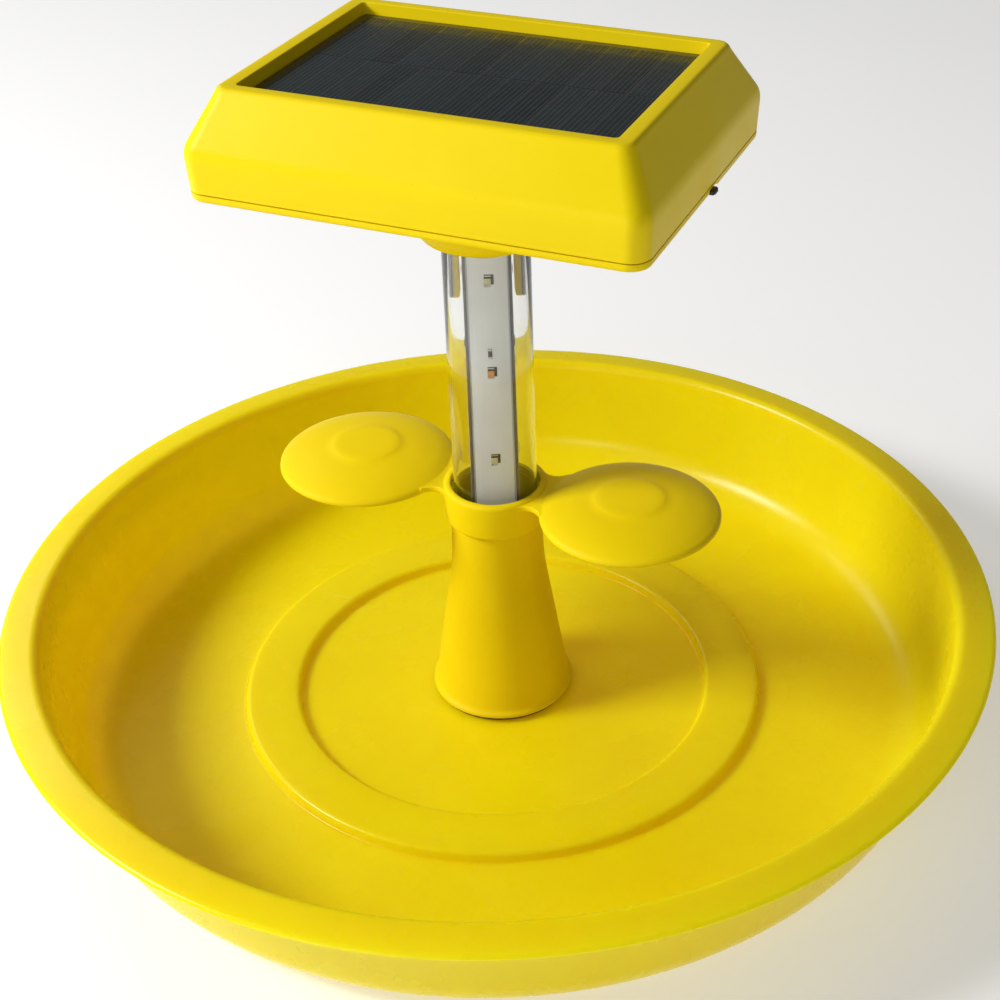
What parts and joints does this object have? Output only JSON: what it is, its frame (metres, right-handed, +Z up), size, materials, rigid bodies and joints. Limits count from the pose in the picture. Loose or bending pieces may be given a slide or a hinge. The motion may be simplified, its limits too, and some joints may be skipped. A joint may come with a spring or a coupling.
{
  "type": "wasp trap",
  "caption": "Round yellow water basin with a centre stem, a winged lure collar and a lift-out lamp tube under a solar panel head.",
  "frame": {"origin": "centre of the basin's underside, on the plane that the basin stands on", "axes": "+Z up along the stem and the tube, +X along the head's long side and the line through both wings, -Y towards the front"},
  "size_m": [0.32, 0.32, 0.2198],
  "materials": {
    "yellow_plastic": "glossy moulded plastic",
    "clear_plastic": "clear",
    "grey_rubber": "matte",
    "black_plastic": "satin",
    "white_plastic": "satin",
    "green_board": "solder mask",
    "solar_cell": "clear coated dark cells",
    "steel": "zinc plated",
    "battery_wrap": "shrink sleeve",
    "red_wire": "satin",
    "lure_rubber": "matte"
  },
  "bodies": {
    "base": {"basin": "yellow_plastic", "stem": "yellow_plastic", "stem_gasket": "grey_rubber", "stem_screw_1": "steel", "stem_screw_2": "steel", "stem_screw_3": "steel"},
    "collar": {"lure_collar": "yellow_plastic", "lure_plug_left": "lure_rubber", "lure_plug_right": "lure_rubber"},
    "lamp": {"clear_tube": "clear_plastic", "tube_end_cap": "black_plastic", "tube_seal": "grey_rubber", "light_bar_core": "white_plastic", "led_strip_front": "white_plastic", "led_strip_right": "white_plastic", "led_strip_back": "white_plastic", "led_strip_left": "white_plastic", "lamp_holder": "yellow_plastic", "head_shell": "yellow_plastic", "solar_panel": "solar_cell", "head_seal": "grey_rubber", "bottom_cover": "yellow_plastic", "cover_screw_1": "steel", "cover_screw_2": "steel", "cover_screw_3": "steel", "cover_screw_4": "steel", "switch_body": "black_plastic", "battery_cell": "battery_wrap", "battery_tray": "black_plastic", "control_board": "green_board", "board_screw_1": "steel", "board_screw_2": "steel", "battery_wire_red": "red_wire", "battery_wire_black": "black_plastic", "lamp_wire": "white_plastic", "panel_wire": "white_plastic"},
    "slider": {"switch_slider": "black_plastic"}
  },
  "joints": [
    {"name": "lamp_lift", "type": "slide", "parent": "base", "child": "lamp", "axis": [0, 0, 1], "range_m": [0, 0.13]},
    {"name": "collar_turn", "type": "hinge", "parent": "base", "child": "collar", "pos_m": [0, 0, 0.0755], "axis": [0, 0, 1], "continuous": true},
    {"name": "switch_slide", "type": "slide", "parent": "lamp", "child": "slider", "axis": [0, 1, 0], "range_m": [0, 0.004]}
  ]
}
